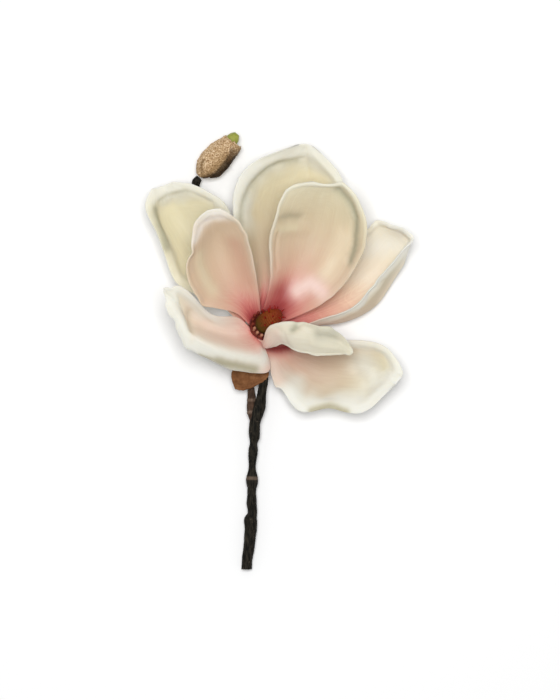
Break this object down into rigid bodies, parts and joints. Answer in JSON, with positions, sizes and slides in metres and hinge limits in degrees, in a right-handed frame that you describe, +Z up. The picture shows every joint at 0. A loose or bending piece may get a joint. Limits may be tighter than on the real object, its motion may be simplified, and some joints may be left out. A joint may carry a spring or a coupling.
{
  "type": "saucer magnolia branch",
  "caption": "Cut saucer magnolia branch lying on a surface: one open cream and pink flower with a closed bud on a thin side twig.",
  "frame": {"origin": "centre of the bounding box in plan, on the surface that the branch lies on", "axes": "+Y along the stem, from its cut end towards the bud; +Z up from the surface, the way the flower opens; +X to the right seen from above"},
  "size_m": [0.1516, 0.2511, 0.0552],
  "materials": {
    "bark": "matte, near-black",
    "petal": "soft satin, cream with a pink base",
    "pistil": "matte, olive to brown",
    "style": "satin, dark red",
    "stamen": "satin, peach",
    "bract": "matte, brown",
    "bud_scale": "rough, brown-gold",
    "bud_green": "satin, green"
  },
  "bodies": {
    "root": {"branch": "bark", "petal_upper_back": "petal", "petal_upper_front": "petal", "petal_left_back": "petal", "petal_left_front": "petal", "petal_right": "petal", "petal_lower_left": "petal", "petal_lower_right": "petal", "petal_curled": "petal", "pistil_cone": "pistil", "style_01": "style", "style_02": "style", "style_03": "style", "style_04": "style", "style_05": "style", "style_06": "style", "style_07": "style", "style_08": "style", "style_09": "style", "style_10": "style", "style_11": "style", "style_12": "style", "style_13": "style", "style_14": "style", "style_15": "style", "style_16": "style", "style_17": "style", "style_18": "style", "style_19": "style", "style_20": "style", "stamen_01": "stamen", "stamen_02": "stamen", "stamen_03": "stamen", "stamen_04": "stamen", "stamen_05": "stamen", "stamen_06": "stamen", "stamen_07": "stamen", "stamen_08": "stamen", "stamen_09": "stamen", "stamen_10": "stamen", "stamen_11": "stamen", "stamen_12": "stamen", "stamen_13": "stamen", "stamen_14": "stamen", "stamen_15": "stamen", "stamen_16": "stamen", "flower_bract": "bract", "bud_scale_outer": "bud_scale", "bud_scale_inner": "bud_scale", "bud_tip": "bud_green"}
  },
  "joints": []
}
